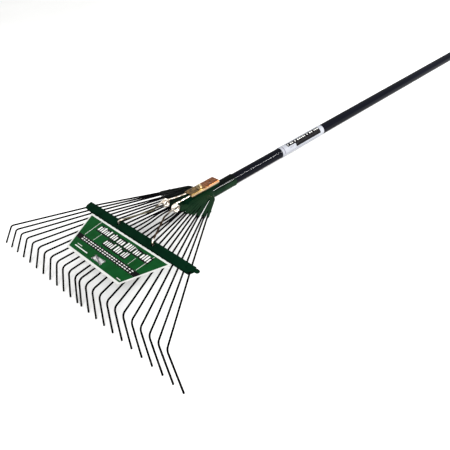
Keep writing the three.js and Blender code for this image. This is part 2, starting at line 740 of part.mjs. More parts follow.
const part = new THREE.Group();
part.add(rake);
rake.rotation.y = pitch;
part.updateMatrixWorld(true);
const extent = new THREE.Box3().setFromObject(part, true);
const centre = extent.getCenter(new THREE.Vector3());
rake.position.set(-centre.x, -centre.y, -extent.min.z);

export default part;
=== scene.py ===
"""The looks of the leaf rake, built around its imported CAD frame. Shapes are drawn in millimetres."""

import random
from math import acos, atan2, ceil, copysign, cos, exp, log, pi, radians, sin, sqrt, tan

import bmesh
import bpy
import numpy as np
from mathutils import Matrix, Vector


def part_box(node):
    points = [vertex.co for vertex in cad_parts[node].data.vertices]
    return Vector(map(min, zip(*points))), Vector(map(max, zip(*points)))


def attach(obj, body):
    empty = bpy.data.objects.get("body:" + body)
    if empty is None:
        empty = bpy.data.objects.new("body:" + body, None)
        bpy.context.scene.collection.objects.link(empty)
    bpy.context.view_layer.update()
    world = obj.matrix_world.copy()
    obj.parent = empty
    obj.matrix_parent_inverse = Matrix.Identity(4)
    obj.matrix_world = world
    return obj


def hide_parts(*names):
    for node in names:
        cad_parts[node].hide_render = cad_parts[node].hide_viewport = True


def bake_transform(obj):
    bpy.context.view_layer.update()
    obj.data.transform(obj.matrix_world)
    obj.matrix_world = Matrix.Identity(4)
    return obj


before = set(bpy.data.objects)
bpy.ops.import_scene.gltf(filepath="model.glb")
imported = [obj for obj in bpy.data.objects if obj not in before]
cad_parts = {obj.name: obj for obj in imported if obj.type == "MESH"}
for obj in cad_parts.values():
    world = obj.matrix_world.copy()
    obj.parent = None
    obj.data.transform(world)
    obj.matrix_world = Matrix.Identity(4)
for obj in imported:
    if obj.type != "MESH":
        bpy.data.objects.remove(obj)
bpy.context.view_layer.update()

MM = 0.001

# ---------- dimensions, as in the CAD part ----------
TINE_COUNT = 24
RANKS = TINE_COUNT // 2  # rank 0 is next to the middle and rank 11 is outermost
TINE_RADIUS = 1.8
TINE_START_X = 125
BEND_X = -153.4
BEND_HALF_SPREAD = 261.2
BEND_RADIUS = 11
BEND_ANGLE = radians(72.8)
TIP_DROP = 57.8
BAR_FIRST_Y, BAR_PITCH, BAR_PITCH_GROWTH = 7.65, 12.75, 0.05
BEND_FIRST_Y = 7.3
BUNCHING, BUNCHING_PERIOD = 3, 13
HEAD_SLOPE = 0.06
MOUTH_X = 105
MOUTH_PITCH = 7.2
MOUTH_CLEAR = 5.8
MOUTH_CROWDED_PITCH = 4.2
PAIRED_RANKS = (3, 7, 9)  # each of these and the next rank out lean together at the mouth
PAIR_LEAN = 1.2
ROOT_X = 150
ROOT_CLEAR = 6.2
ROOT_PITCH = 3.5
SPLIT_RANK, SPLIT_GAP = 9, 3.6
BOWED_RANKS = 2
BOW = 3.6
BOW_START = 25
BAR_REAR, BAR_FRONT = -2.5, -23
BAR_HALF_LENGTH = 170
BAR_TOP = 4.4
BAR_SHEET = 1.3
BAR_LIP = 2.1
BAR_BEND = 2.2
BAR_REACH = 9  # more than half the crossbar's height
BAR_SHIFT = 1
TAB_WIDTH = 8.5
TAB_HALF_LENGTH = 177
HOOK_SLOT_LENGTH, HOOK_SLOT_WIDTH = 10, 6
BAR_RIVET_X = -12.5
BAR_RIVET_RANKS = (7.5, 10.5)
HANDLE_DROOP = radians(7.5)
HANDLE_RADIUS = 12.5
HANDLE_START = 174
HANDLE_LENGTH = 1219
HANDLE_END_ROUND = 5
HANDLE_END_GAP = 0.3  # the turned end stays this far inside the CAD handle's
LABEL_START, LABEL_END = 417, 576
SHELL_SHEET = 1.2
CREST, VALLEY = 3.4, 1.75  # the head sheet over a tine and between two, from the tine plane
SIDE_MARGIN = 4.1
SLOT_DEPTHS = (0, 0, 9, 6, 9, 17, 23, 6, 52, 6, 17)  # from the middle outwards; 0 means no slot
SLOT_END_HALF_WIDTH = 0.9
SPLIT_SLOT_HALF_WIDTH = 1.8
LEFT_SPLIT_EXTRA = 10
LEFT_MOUTH_SHIFTS = {9: 2.8, 10: 3}  # on the left, the outer bundle stands off further
LEFT_ROOT_SHIFTS = {9: 1.8, 10: 1.2}
FINGER_HALF_WIDTH = 2.4
SOCKET_OUTER = 14.1
SOCKET_END = 258
FUNNEL_START, FUNNEL_END = 128, 172
RIDGE_START, RIDGE_END = 112, 212
RIDGE_HALF_WIDTH = 7.8
RIDGE_TOP, RIDGE_FOOT = 21.4, 8
RIDGE_BEND = 2.6
HEAD_RIVET_X, HEAD_RIVET_Y = 118, 10.4
SOCKET_SCREW_S = 232
WIRE_RADIUS = 1.8
COIL_X, COIL_Z = 83.5, 10
COIL_RADIUS = 7
COIL_TURNS = 2
COIL_PITCH = 4
COIL_START_Y = 11.4
LEG_KINK = (50, 18.5, 11.6)
HOOK_X, HOOK_Y, HOOK_Z = -12, 55.4, 10.8
HOOK_FOOT_Z, HOOK_FOOT_LENGTH = -8.5, 8
BRACKET_START, BRACKET_END = 129, 208.5
BRACKET_HALF_WIDTH = 11.6
BRACKET_TOP = 27.2
BRACKET_SHEET = 1.6
BRACKET_FLANGE = 7
BRACKET_BEND = 1.8
SPARE_HOLE_S, SPARE_HOLE_RADIUS = 190, 1.5
ANCHOR_Y = 6.4
ANCHOR_END = 12
BOLT_S = 161
BOLT_RADIUS = 2.6
BOLT_SEAT, BOLT_HEAD, BOLT_STICKS_OUT = 3, 3.5, 6
NUT_FLATS, NUT_HEIGHT = 9, 4
WASHER_RADIUS, WASHER_SHEET = 6, 1
CARD_TOP_X, CARD_BOTTOM_X = -25.5, -117.5
CARD_TOP_HALF, CARD_BOTTOM_HALF = 131, 87
CARD_SHIFT = 5
CARD_LOW, CARD_HIGH = 2.1, 2.8
CARD_TIE_X = -38
CARD_TIE_RADIUS = 0.6
CARD_TIE_HALF = 3.2

# ---------- frames ----------
def from_axis(s, y, h):
    """A point at s along the handle's axis, y across and h above it, in the rake's own frame."""
    c, d = cos(HANDLE_DROOP), sin(HANDLE_DROOP)
    return np.array([s * c + h * d, y, h * c - s * d])


def resting_pitch():
    """The pitch at which the rake stands on its tine tips and the end of its handle."""
    end_x, _, end_z = from_axis(HANDLE_START + HANDLE_LENGTH - HANDLE_END_ROUND, 0, -HANDLE_RADIUS)
    tip_x = BEND_X - TIP_DROP / tan(BEND_ANGLE)
    tip_z = -TIP_DROP - TINE_RADIUS * 0.3  # the lower edge of a tine's slanting end
    return atan2(end_z - tip_z, end_x - tip_x)


def rake_frame():
    """From the rake's own frame to the row frame, placed by the card's box, which is known in both."""
    turn = Matrix.Rotation(resting_pitch(), 4, "Y")
    corners = [
        turn @ Vector((x * MM, 0, z * MM))
        for x in (CARD_TOP_X, CARD_BOTTOM_X)
        for z in (CARD_LOW, CARD_HIGH)
    ]
    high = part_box("header_card")[1]
    shift = (high.x - max(c.x for c in corners), 0, high.z - max(c.z for c in corners))
    return Matrix.Translation(shift) @ turn


RAKE = rake_frame()
AXIS = RAKE @ Matrix.Rotation(HANDLE_DROOP, 4, "Y")  # X along the handle's axis, Z above it


def in_row_frame(point):
    return RAKE @ (Vector(point) * MM)


# ---------- materials ----------
# Places in a material are in metres, in its piece's own object coordinates.
def linear(code):
    """A hex colour as Blender's linear RGBA."""
    parts = [int(code[i : i + 2], 16) / 255 for i in (1, 3, 5)]
    curve = [c / 12.92 if c < 0.04045 else ((c + 0.055) / 1.055) ** 2.4 for c in parts]
    return (*curve, 1)


class Nodes:
    """A short way to add and join the nodes of one material."""

    def __init__(self, name):
        self.material = bpy.data.materials.new(name)
        self.material.use_nodes = True
        self.tree = self.material.node_tree
        self.tree.nodes.clear()
        self.shader = self.add("ShaderNodeBsdfPrincipled")
        self.add("ShaderNodeOutputMaterial", {"Surface": self.shader.outputs["BSDF"]})
        self.place = self.add("ShaderNodeTexCoord").outputs["Object"]

    def put(self, value, socket):
        """Gives a socket a number or a hex colour, or joins another node's output to it."""
        if isinstance(value, bpy.types.NodeSocket):
            self.tree.links.new(value, socket)
        else:
            socket.default_value = linear(value) if isinstance(value, str) else value

    def add(self, kind, inputs=None, **values):
        node = self.tree.nodes.new(kind)
        for name, value in values.items():
            setattr(node, name, value)
        for socket, value in (inputs or {}).items():
            self.put(value, node.inputs[socket])
        return node

    def noise(self, size_mm, detail=3, stretch=(1, 1, 1)):
        mapping = self.add("ShaderNodeMapping", {"Vector": self.place, "Scale": stretch})
        inputs = {"Vector": mapping.outputs["Vector"], "Scale": 1 / (size_mm * MM), "Detail": detail}
        return self.add("ShaderNodeTexNoise", inputs).outputs["Fac"]

    def ranged(self, value, low, high, start=0.3, end=0.7):
        inputs = {"Value": value, "From Min": start, "From Max": end, "To Min": low, "To Max": high}
        return self.add("ShaderNodeMapRange", inputs).outputs["Result"]

    def step(self, value, start, end):
        """0 before start, 1 after end and a ramp between them."""
        return self.ranged(value, 0, 1, start, end)

    def split(self):
        """The object coordinates' own X, Y and Z."""
        return self.add("ShaderNodeSeparateXYZ", {"Vector": self.place}).outputs

    def maths(self, operation, *values):
        return self.add("ShaderNodeMath", dict(enumerate(values)), operation=operation).outputs["Value"]

    def mixed(self, factor, first, second):
        inputs = {"Factor": factor, 6: first, 7: second}
        return self.add("ShaderNodeMix", inputs, data_type="RGBA").outputs[2]

    def bump(self, height, depth_mm):
        node = self.add("ShaderNodeBump", {"Height": height, "Distance": depth_mm * MM})
        self.feed(node.outputs["Normal"], "Normal")

    def feed(self, value, name):
        self.put(value, self.shader.inputs[name])

    def rough(self, pattern, low, high):
        self.feed(self.ranged(pattern, low, high), "Roughness")

    def drawn(self, low, high, depth_mm, stretch=(1, 1, 1)):
        """The fine streaks of drawn or rolled metal, in its roughness and its bump."""
        streak = self.noise(1.6, 3, stretch)
        self.rough(streak, low, high)
        self.bump(streak, depth_mm)

    def set(self, **values):
        for name, value in values.items():
            self.feed(value, name.replace("_", " "))


def enamel(name, shade, light_shade, shine=0.05, coat=0.0, dark=None):
    """Baked enamel: an even colour with faint clouding and a soft orange-peel surface.

    dark may be a function that gives, from the material's nodes, where painted shade turns the enamel
    nearly black.
    """
    n = Nodes(name)
    cloud = n.ranged(n.noise(26, 4), 0, 1)
    colour = n.mixed(cloud, shade, light_shade)
    if dark:
        # Painted shade: the enamel turns nearly black where dark(n) is high.
        colour = n.mixed(dark(n), colour, "#020504")
    n.feed(colour, "Base Color")
    n.rough(n.noise(9, 3), 0.34, 0.46)
    n.bump(n.noise(2.2, 2), 0.035)
    n.set(IOR=1.2, Coat_Weight=coat, Coat_Roughness=0.08, Specular_IOR_Level=shine)
    return n.material


def head_painted_shade(n):
    """Painted shade, where light leaves the head darker: on its left half and on top of its socket."""
    split = n.split()
    left = n.step(split["Y"], 0.006, 0.03)
    height = n.maths("MULTIPLY_ADD", split["X"], tan(HANDLE_DROOP), split["Z"])
    above = n.step(height, 0.002, 0.009)
    socket = n.step(split["X"], 0.172, 0.2)
    return n.maths("MAXIMUM", left, n.maths("MULTIPLY", above, socket))


def plated(name, shade, dark_shade, roughness, stain_mm):
    """Plated metal: fine streaks and darker staining."""
    n = Nodes(name)
    stain = n.step(n.noise(stain_mm, 5), 0.35, 0.75)
    n.feed(n.mixed(stain, shade, dark_shade), "Base Color")
    n.drawn(*roughness, 0.02)
    n.set(Metallic=1)
    return n.material


def lacquer():
    """The handle's lacquer over straight grain: long faint ripples under a thin gloss coat."""
    n = Nodes("navy_lacquer")
    grain = n.noise(5, 4, (0.03, 1, 1))
    cloud = n.ranged(grain, 0, 1)
    n.feed(n.mixed(cloud, "#030408", "#06070e"), "Base Color")
    n.rough(n.noise(30, 3), 0.16, 0.26)
    n.bump(grain, 0.05)
    n.set(Coat_Weight=0.08, Coat_Roughness=0.04, Specular_IOR_Level=0.01)
    return n.material


def printed(name, shade, light_shade, roughness=(0.36, 0.5)):
    """Ink or paper: slight mottling over the fibres of the card."""
    n = Nodes(name)
    mottle = n.ranged(n.noise(18, 5), 0, 1)
    n.feed(n.mixed(mottle, shade, light_shade), "Base Color")
    n.rough(n.noise(6, 3), *roughness)
    n.bump(n.noise(0.7, 2), 0.012)
    n.set(IOR=1.15, Specular_IOR_Level=0.3)
    return n.material


def brace_wire_material(name, leg_painted_shade, leg_painted_shade_dark):
    """Spring wire with real staining: a painted highlight where it is held and wound into its coil and at
    its hook, and a darker painted shade along the leg.
    """
    n = Nodes(name)
    stain = n.step(n.noise(6, 5), 0.4, 0.66)
    split = n.split()
    # A baked piece is drawn in the row frame, so its places are too.
    coil_x = in_row_frame((COIL_X, 0, 0)).x
    hook_x = in_row_frame((HOOK_X, 0, 0)).x
    coil_highlight = n.step(split["X"], coil_x - 0.026, coil_x - 0.01)
    hook_highlight = n.ranged(split["X"], 1, 0, hook_x + 0.003, hook_x + 0.009)
    leg = n.mixed(stain, leg_painted_shade, leg_painted_shade_dark)
    # Painted highlight on the held part, the coil and the hook, with the staining over it.
    painted_highlight = n.mixed(stain, "#f3e9de", "#7f7059")
    n.feed(n.mixed(coil_highlight, n.mixed(hook_highlight, leg, painted_highlight), painted_highlight), "Base Color")
    n.drawn(0.24, 0.4, 0.015)
    n.set(Metallic=1)
    return n.material


def bracket_material():
    """Plated sheet, browner towards the rear. Its sides below the bends are less metallic and carry
    painted light: a pale band under each bend, with painted shade along the lower edge.
    """
    n = Nodes("bracket_plate")
    stain = n.step(n.noise(7, 5), 0.38, 0.68)
    split = n.split()
    rear = n.step(split["X"], 0.158, 0.176)
    front_shade = n.mixed(stain, "#80663c", "#3b2d18")
    rear_shade = n.mixed(stain, "#955c36", "#452512")
    top = n.mixed(rear, front_shade, rear_shade)
    bend = (BRACKET_TOP - BRACKET_BEND) * MM
    # Painted light on the sides, pale under the bend, and painted shade towards their lower edge.
    side_painted_light_and_shade = n.mixed(stain, "#b59c7d", "#8c7354")
    side_painted_light_and_shade = n.mixed(n.ranged(split["Z"], 1, 0, bend - 0.0036, bend - 0.0026), side_painted_light_and_shade, "#4a3822")
    side = n.ranged(split["Z"], 1, 0, bend - 0.0006, bend)
    n.feed(n.mixed(side, top, side_painted_light_and_shade), "Base Color")
    n.feed(n.ranged(split["Z"], 0.25, 1, bend - 0.0006, bend), "Metallic")
    n.drawn(0.22, 0.36, 0.02, (0.05, 1, 1))
    return n.material


TINE_ENAMEL = enamel("tine_enamel", "#020203", "#040405", shine=0.03)
GREEN_ENAMEL = enamel("green_enamel", "#03150b", "#051d10", shine=0.01)
# The head's enamel carries painted shade on its left half and on top of its socket.
HEAD_ENAMEL = enamel("head_enamel_painted_shade", "#05190d", "#102414", coat=0.07, dark=head_painted_shade)
BRACKET_PLATE_PAINTED_LIGHT = bracket_material()
YELLOW_ZINC = plated("yellow_zinc", "#d8caa8", "#5d4f35", (0.24, 0.4), 4)
ZINC = plated("fastener_zinc", "#c4c8cc", "#8f9498", (0.22, 0.38), 5)
LACQUER = lacquer()
SLEEVE_WHITE = printed("sleeve_white", "#7b7d83", "#898b90", (0.25, 0.35))
CARD_WHITE = printed("card_white", "#a6a7a4", "#b0b0ad")
CARD_GREEN = printed("card_green", "#03300f", "#053b17")
INK_BLACK = printed("ink_black", "#050506", "#09090a")
INK_WHITE = printed("ink_white", "#b4b4b1", "#bebebb")
INK_GREY = printed("ink_grey", "#4c4752", "#5c5762")


# ---------- meshes ----------
def turns(count):
    """Angles evenly spaced once round."""
    return np.arange(count) * 2 * pi / count


def grid(rows, around=False, caps=False):
    """A grid of points as a mesh. around joins the last column to the first; caps close both ends."""
    points = np.array(rows, float)
    count, width = points.shape[:2]
    faces = []
    for i in range(count - 1):
        for j in range(width if around else width - 1):
            k = (j + 1) % width
            faces.append((i * width + j, i * width + k, (i + 1) * width + k, (i + 1) * width + j))
    if caps:
        faces.append(tuple(reversed(range(width))))
        faces.append(tuple(range((count - 1) * width, count * width)))
    return points.reshape(-1, 3), faces


def joined(*parts):
    """Several (vertices, faces) as one."""
    vertices, faces, first = [], [], 0
    for part_vertices, part_faces in parts:
        vertices.append(np.array(part_vertices, float))
        faces += [tuple(first + i for i in face) for face in part_faces]
        first += len(part_vertices)
    return np.concatenate(vertices), faces


def linked(name, data, place=None):
    """A new object in the scene."""
    obj = bpy.data.objects.new(name, data)
    bpy.context.scene.collection.objects.link(obj)
    if place:
        obj.matrix_world = place
    return obj


def meshed(name, shape):
    """A shape in millimetres as a Blender mesh, welded and with its faces pointing out."""
    vertices, faces = shape
    mesh = bpy.data.meshes.new(name)
    mesh.from_pydata((np.asarray(vertices) * MM).tolist(), [], faces)
    made = bmesh.new()
    made.from_mesh(mesh)
    bmesh.ops.remove_doubles(made, verts=made.verts, dist=1e-6)
    bmesh.ops.recalc_face_normals(made, faces=made.faces)
    made.to_mesh(mesh)
    made.free()
    return mesh


def piece(name, shape, material, slot, stands_for=(), body="root", place=RAKE, crease=35, finish=None):
    """A shape as a named object that rides on a CAD body, or on none yet if body is None."""
    obj = linked(name, meshed(name, shape), place)
    obj.data.materials.append(material)
    if finish:
        finish(obj)
    obj.data.shade_smooth()
    obj.data.set_sharp_from_angle(angle=radians(crease))
    if stands_for:
        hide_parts(*stands_for)
    if body:
        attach(obj, body)
    return obj


def axis_piece(name, shape, material, slot, stands_for=(), **more):
    """A piece that is drawn along the handle's axis."""
    return piece(name, shape, material, slot, stands_for, place=AXIS, **more)


def apply(obj, kind, **settings):
    """Adds one modifier and applies it."""
    modifier = obj.modifiers.new(kind.lower(), kind)
    for name, value in settings.items():
        setattr(modifier, name, value)
    graph = bpy.context.evaluated_depsgraph_get()
    mesh = bpy.data.meshes.new_from_object(obj.evaluated_get(graph))
    obj.modifiers.clear()
    obj.data = mesh


def ease_edges(obj, width_mm, segments=2, angle=50):
    """Bevels every edge that turns by more than an angle in degrees."""
    apply(obj, "BEVEL", width=width_mm * MM, segments=segments, limit_method="ANGLE",
          angle_limit=radians(angle))


# ---------- shapes ----------
def turned(profile, sides=48):
    """A lathe shape about Z from (radius, height) pairs; radius 0 at either end closes it."""
    return grid([[(r * cos(a), r * sin(a), z) for a in turns(sides)] for r, z in profile], around=True)


def moved(shape, x=0, y=0, z=0):
    vertices, faces = shape
    return np.array(vertices, float) + (x, y, z), faces


def along_x(shape):
    """Lays a shape that stands along Z down along X."""
    vertices, faces = shape
    return np.array(vertices, float)[:, (2, 1, 0)] * (1, 1, -1), faces


def prism(outline, low, high):
    """An upright plate from an outline in X and Y."""
    count = len(outline)
    vertices = [(x, y, z) for z in (low, high) for x, y in outline]
    sides = [(i, (i + 1) % count, count + (i + 1) % count, count + i) for i in range(count)]
    return np.array(vertices, float), [
        tuple(reversed(range(count))), tuple(range(count, 2 * count)), *sides,
    ]


def rounded_outline(x0, x1, y0, y1, radius, segments=6):
    corners = ((x1, y1, 0), (x0, y1, 90), (x0, y0, 180), (x1, y0, 270))
    out = []
    for x, y, start in corners:
        cx = x - radius if x == max(x0, x1) else x + radius
        cy = y - radius if y == max(y0, y1) else y + radius
        for i in range(segments + 1):
            a = radians(start + 90 * i / segments)
            out.append((cx + radius * cos(a), cy + radius * sin(a)))
    return out


def hexagonal(flats, low, high, hole=0.0):
    """A hexagon bar along Z with chamfered corners at both ends, and a round hole if one is given."""
    angles = turns(72)
    inner = flats / 2

    def ring(radius, z):
        return [(radius * cos(a), radius * sin(a), z) for a in angles]

    def rim(z, way):
        out = []
        for a in angles:
            r = inner / cos((a % (pi / 3)) - pi / 6)
            out.append((r * cos(a), r * sin(a), z + way * (r - inner) * 0.55))
        return out
    rows = [ring(inner * 0.96, low), rim(low + 0.1, 1), rim(high - 0.1, -1), ring(inner * 0.96, high)]
    if hole:
        rows = [ring(hole, low + 0.3), ring(hole + 0.3, low), *rows,
                ring(hole + 0.3, high), ring(hole, high - 0.3), ring(hole, low + 0.3)]
    else:
        rows = [ring(0, low), *rows, ring(0, high)]
    return grid(rows, around=True)


def threaded(radius, low, high):
    """A screw thread along Z, closed at both ends."""
    pitch, depth, steps = 0.9, 0.32, 6
    rows = []
    for z in np.arange(low, high, pitch / steps):
        ease = min(1, (high - z) / 0.8)
        row = []
        for a in turns(32):
            turn = (z / pitch - a / (2 * pi)) % 1
            r = radius * (0.82 + 0.18 * ease) - depth * abs(2 * turn - 1)
            row.append((r * cos(a), r * sin(a), z))
        rows.append(row)
    return grid(rows, around=True, caps=True)


def dome(radius, height, low):
    """A low round rivet head on a plane at low, its foot a little below it."""
    arc = [radians(15 * i) for i in range(7)]
    profile = [(radius, low - 0.2), *((radius * cos(a), low + height * sin(a)) for a in arc)]
    return turned([(0, low - 0.2), *profile], 32)


def rivet(x, y, head, shank):
    """A rivet at a place: the (radius, height, low) of its dome and a lathe profile for the rest."""
    return moved(joined(dome(*head), turned(shank, 32)), x, y)


def smooth(value, start, end):
    t = min(max((value - start) / (end - start), 0), 1)
    return t * t * (3 - 2 * t)


def cut(obj, shape, operation="DIFFERENCE"):
    """Cuts a shape out of the object, or keeps only what lies in it if operation is INTERSECT."""
    cutter = linked("cutter", meshed("cutter", shape), obj.matrix_world)
    bpy.context.view_layer.update()
    apply(obj, "BOOLEAN", object=cutter, operation=operation, solver="EXACT")
    bpy.data.objects.remove(cutter)


def column(x, y, low, high, radius):
    return moved(turned([(0, low), (radius, low), (radius, high), (0, high)], 32), x, y)


# ---------- wires ----------
def unit(vector):
    return vector / np.linalg.norm(vector)


def arc_corner(a, b, c, radius, segments=12):
    """Replaces the corner at b, between a and c, with an arc."""
    back, ahead = unit(a - b), unit(c - b)
    half = acos(np.clip(back @ ahead, -1, 1)) / 2
    centre = b + unit(back + ahead) * radius / sin(half)
    first = b + back * radius / tan(half) - centre
    axis = Vector(unit(np.cross(back, ahead)))
    turn = pi - 2 * half
    return [
        centre + np.array(Matrix.Rotation(-turn * i / segments, 3, axis) @ Vector(first))
        for i in range(segments + 1)
    ]


def bent(corners, radius, segments=8):
    """A wire's course through corners, each rounded."""
    corners = [np.array(c, float) for c in corners]
    inner = [
        point
        for i in range(1, len(corners) - 1)
        for point in arc_corner(corners[i - 1], corners[i], corners[i + 1], radius, segments)
    ]
    return [corners[0], *inner, corners[-1]]


def spaced(points, step):
    """The same course with no two points further apart than step."""
    out = [np.array(points[0], float)]
    for a, b in zip(points, points[1:]):
        count = max(1, ceil(np.linalg.norm(np.array(b) - a) / step))
        out += [np.array(a) + (np.array(b) - a) * (i + 1) / count for i in range(count)]
    return out


def flowing(points):
    """A smooth curve through all the points, with a point about every 2.5 mm."""
    p = [np.array(q, float) for q in points]
    p = [2 * p[0] - p[1], *p, 2 * p[-1] - p[-2]]
    out = []
    for a, b, c, d in zip(p, p[1:], p[2:], p[3:]):
        count = max(2, ceil(np.linalg.norm(c - b) / 2.5))
        for t in np.arange(count) / count:
            out.append(
                0.5 * (2 * b + (c - a) * t + (2 * a - 5 * b + 4 * c - d) * t**2
                       + (3 * b - a - 3 * c + d) * t**3)
            )
    return [*out, p[-2]]


def wire(route, radius, sides=14):
    """A round wire along a course, with its cut ends slightly eased."""
    chamfer = 0.3  # as a share of the radius
    points = np.array(route, float)
    tangents = np.gradient(points, axis=0)
    tangents /= np.linalg.norm(tangents, axis=1)[:, None]
    start = np.array([0, 0, 1.0]) if abs(tangents[0][2]) < 0.9 else np.array([0, 1.0, 0])
    normal = unit(start - tangents[0] * (start @ tangents[0]))
    rings = []
    for point, tangent in zip(points, tangents):
        normal = unit(normal - tangent * (normal @ tangent))
        across = np.cross(tangent, normal)
        rings.append([(point, radius * (cos(a) * normal + sin(a) * across)) for a in turns(sides)])

    def ring(index, shift, scale):
        return [p + tangents[index] * shift + offset * scale for p, offset in rings[index]]
    body = [ring(i, 0, 1) for i in range(1, len(rings) - 1)]
    ease = chamfer * radius
    ends = (
        [ring(0, 0, 1 - chamfer), ring(0, ease, 1)],
        [ring(-1, -ease, 1), ring(-1, 0, 1 - chamfer)],
    )
    return grid([*ends[0], *body, *ends[1]], around=True, caps=True)


# ---------- tines ----------
def bar_y(rank):
    return BAR_FIRST_Y + BAR_PITCH * rank + BAR_PITCH_GROWTH * rank**2


def bend_y(rank):
    def lean(k):
        return -BUNCHING * sin(2 * pi * k / BUNCHING_PERIOD)
    pitch = (BEND_HALF_SPREAD - BEND_FIRST_Y - lean(RANKS - 1)) / (RANKS - 1)
    return BEND_FIRST_Y + pitch * rank + lean(rank)


def tine_at(rank, x):
    return bar_y(rank) + (bend_y(rank) - bar_y(rank)) * x / BEND_X


def left_shift(shifts, rank, side):
    return shifts.get(rank, 0) if side > 0 else 0


def mouth_y(rank, side):
    """How far from the middle a tine leaves the head, on the left (side 1) or the right (-1)."""
    if rank < BOWED_RANKS:
        return MOUTH_CLEAR + MOUTH_CROWDED_PITCH * rank
    lean = PAIR_LEAN * ((rank in PAIRED_RANKS) - (rank - 1 in PAIRED_RANKS))
    return MOUTH_PITCH * rank + lean + left_shift(LEFT_MOUTH_SHIFTS, rank, side)


def root_y(rank, side):
    bundle = SPLIT_GAP * (rank >= SPLIT_RANK)
    return ROOT_CLEAR + ROOT_PITCH * rank + bundle + left_shift(LEFT_ROOT_SHIFTS, rank, side)


def inside_y(rank, x, side):
    share = (x - MOUTH_X) / (ROOT_X - MOUTH_X)
    return mouth_y(rank, side) + (root_y(rank, side) - mouth_y(rank, side)) * share


def finger_end(y):
    return 92 + 18 * (y / 75) ** 2


def course_y(rank, x, side):
    if x < 0:
        return tine_at(rank, x)
    if x > MOUTH_X:
        return inside_y(rank, x, side)
    straight = bar_y(rank) + (mouth_y(rank, side) - bar_y(rank)) * x / MOUTH_X
    if rank >= BOWED_RANKS or x < BOW_START:
        return straight
    return straight + BOW * sin(pi * (x - BOW_START) / (MOUTH_X - BOW_START)) ** 2


def eased_y(rank, x, side):
    """course_y with its corners eased, as a wire bends."""
    return np.mean([course_y(rank, x + d, side) for d in (-6, -3, 0, 3, 6)])


def tine_route(rank, side):
    def head_z(x):
        return -HEAD_SLOPE * max(x, 0)
    stations = np.concatenate([np.arange(TINE_START_X, -24, -6), np.arange(-26, BEND_X + 20, -12)])
    behind = [np.array([x, side * eased_y(rank, x, side), head_z(x)]) for x in stations]
    bend = np.array([BEND_X, side * bend_y(rank), 0])
    flare = TIP_DROP * (bend_y(rank) - bar_y(rank)) / -BEND_X / sin(BEND_ANGLE)
    tip = np.array(
        [BEND_X - TIP_DROP / tan(BEND_ANGLE), side * (bend_y(rank) + flare), -TIP_DROP]
    )
    corner = arc_corner(behind[-1], bend, tip, BEND_RADIUS)
    return [*behind, *corner, *spaced([corner[-1], tip], 12)[1:]]


def tines():
    for i in range(TINE_COUNT):
        side = 1 if i < RANKS else -1
        rank = RANKS - 1 - i if side > 0 else i - RANKS
        tine = piece(
            f"tine_wire_{i + 1:02d}", wire(tine_route(rank, side), TINE_RADIUS),
            TINE_ENAMEL, "tine_enamel", [f"tine_{i + 1:02d}"], body=None,
        )
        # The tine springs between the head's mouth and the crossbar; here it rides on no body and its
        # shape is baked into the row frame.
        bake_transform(tine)


# ---------- crossbar ----------
def strip_shape(rear, front, half_length, flat, lip):
    """A pressed strip with a lip along each edge and rounded bends, run across the rake."""
    up = copysign(1, flat - lip)

    def edge(inset, radius):
        flat_in = flat - up * inset
        points = []
        for centre, start in ((rear - inset - radius, 0), (front + inset + radius, 90)):
            for i in range(7):
                a = radians(start + 15 * i)
                points.append((centre + radius * cos(a), flat_in - up * radius * (1 - sin(a))))
        return [(rear - inset, lip), *points, (front + inset, lip)]
    outer, inner = edge(0, BAR_BEND), edge(BAR_SHEET, BAR_BEND - BAR_SHEET)
    section = [*outer, *reversed(inner)]
    rows = [[(x, y, z) for x, z in section] for y in (-half_length, half_length)]
    return grid(rows, around=True, caps=True)


def strip(name, node, rear, front, half_length, way, half_outline):
    """One strip (way 1 for the upper, -1 for the lower), trimmed to its outline, with the hooks' slots."""
    def finish(obj):
        outline = [*half_outline, *((x, -y) for x, y in reversed(half_outline))]
        cut(obj, prism(outline, -BAR_REACH, BAR_REACH), "INTERSECT")
        for y in (HOOK_Y, -HOOK_Y):
            outline = rounded_outline(
                HOOK_X - HOOK_SLOT_LENGTH / 2, HOOK_X + HOOK_SLOT_LENGTH / 2,
                y - HOOK_SLOT_WIDTH / 2, y + HOOK_SLOT_WIDTH / 2, 2.4,
            )
            cut(obj, prism(outline, -BAR_REACH, BAR_REACH))
        ease_edges(obj, 0.25)
    shape = strip_shape(rear, front, half_length + 1, way * BAR_TOP, way * BAR_LIP)
    piece(name, shape, GREEN_ENAMEL, "green_enamel", [node], "fan", finish=finish)


def crossbar():
    end = BAR_HALF_LENGTH
    upper = [
        (BAR_REAR, end - 2), (BAR_REAR - 1.5, end), (BAR_FRONT + 9, end - 1), (BAR_FRONT + 2.5, end - 4),
        (BAR_FRONT, end - 8),
    ]
    strip("crossbar_upper_strip", "crossbar_upper", BAR_REAR, BAR_FRONT, BAR_HALF_LENGTH, 1, upper)
    rear, front, tip = BAR_REAR + BAR_SHIFT, BAR_FRONT + BAR_SHIFT, TAB_HALF_LENGTH
    tab = [
        (rear, tip - 3), (rear - 1.2, tip - 1), (rear - 3.5, tip), (rear - TAB_WIDTH + 2, tip - 0.6),
        (rear - TAB_WIDTH, tip - 3), (rear - TAB_WIDTH, end - 1), (front + 4, end - 4), (front, end - 8),
    ]
    strip("crossbar_lower_strip", "crossbar_lower", rear, front, TAB_HALF_LENGTH, -1, tab)
    spots = sorted(side * tine_at(rank, BAR_RIVET_X) for rank in BAR_RIVET_RANKS for side in (1, -1))
    low, top = -BAR_TOP, BAR_TOP - 0.2
    shank = [(0, low - 1.3), (2.2, low - 1.3), (3.2, low - 0.8), (3.2, low), (2.2, low), (2.2, top),
             (0, top)]
    for number, y in enumerate(reversed(spots), 1):
        piece(f"crossbar_rivet_head_{number}", rivet(BAR_RIVET_X, y, (3.6, 1.4, BAR_TOP), shank),
              GREEN_ENAMEL, "green_enamel", [f"crossbar_rivet_{number}"], "fan")


